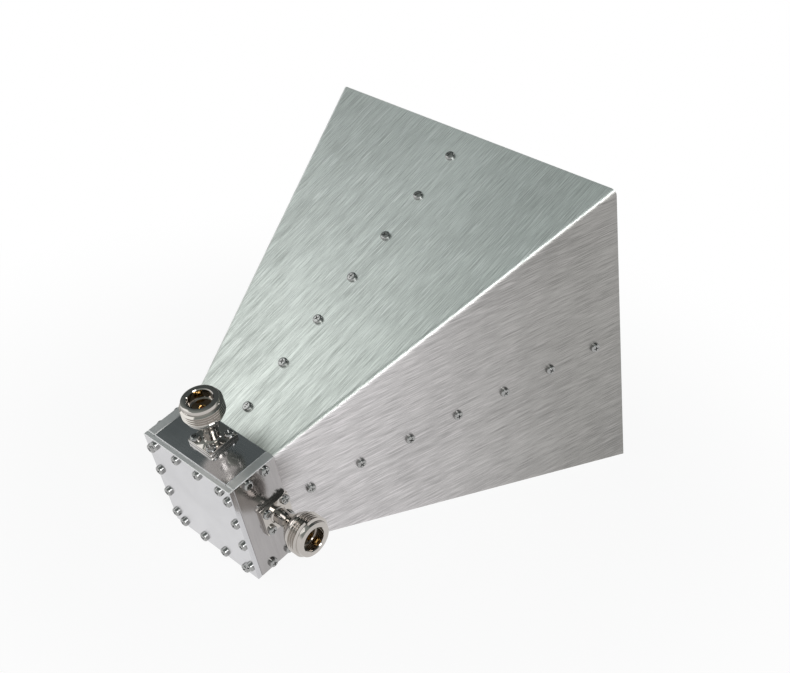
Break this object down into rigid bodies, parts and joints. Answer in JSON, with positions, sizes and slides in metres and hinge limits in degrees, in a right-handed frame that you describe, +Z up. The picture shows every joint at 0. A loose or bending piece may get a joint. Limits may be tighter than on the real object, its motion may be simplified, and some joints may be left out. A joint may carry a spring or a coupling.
{
  "type": "horn antenna",
  "caption": "Dual-polarised quad-ridged pyramidal horn antenna with a square feed box and coaxial ports on its top and right sides.",
  "frame": {"origin": "centre of the bounding box's base, on the surface that the antenna lies on", "axes": "+Z up; +Y level, towards the mouth, with the boresight 16.2 degrees above it; +X to the right seen from behind"},
  "size_m": [0.139, 0.1806, 0.1343],
  "materials": {
    "horn_sheet": "brushed sheet",
    "milled_plate": "fine milled",
    "ridge": "satin, milled profile",
    "port_nickel": "bright nickel plate",
    "insulator": "waxy white",
    "contact_gold": "gold plate",
    "screw_steel": "bright stainless"
  },
  "bodies": {
    "root": {"horn_shell": "horn_sheet", "horn_bottom_wall": "horn_sheet", "rear_cover": "milled_plate", "top_plate": "milled_plate", "bottom_plate": "milled_plate", "left_plate": "milled_plate", "right_plate": "milled_plate", "top_ridge": "ridge", "right_ridge": "ridge", "bottom_ridge": "ridge", "left_ridge": "ridge", "top_port_body": "port_nickel", "right_port_body": "port_nickel", "top_port_insulator": "insulator", "right_port_insulator": "insulator", "top_port_contact": "contact_gold", "right_port_contact": "contact_gold", "rear_cover_screws": "screw_steel", "left_plate_screws": "screw_steel", "right_plate_screws": "screw_steel", "top_ridge_screws": "screw_steel", "right_ridge_screws": "screw_steel", "bottom_ridge_screws": "screw_steel", "left_ridge_screws": "screw_steel", "top_flange_screws": "screw_steel", "right_flange_screws": "screw_steel"}
  },
  "joints": []
}
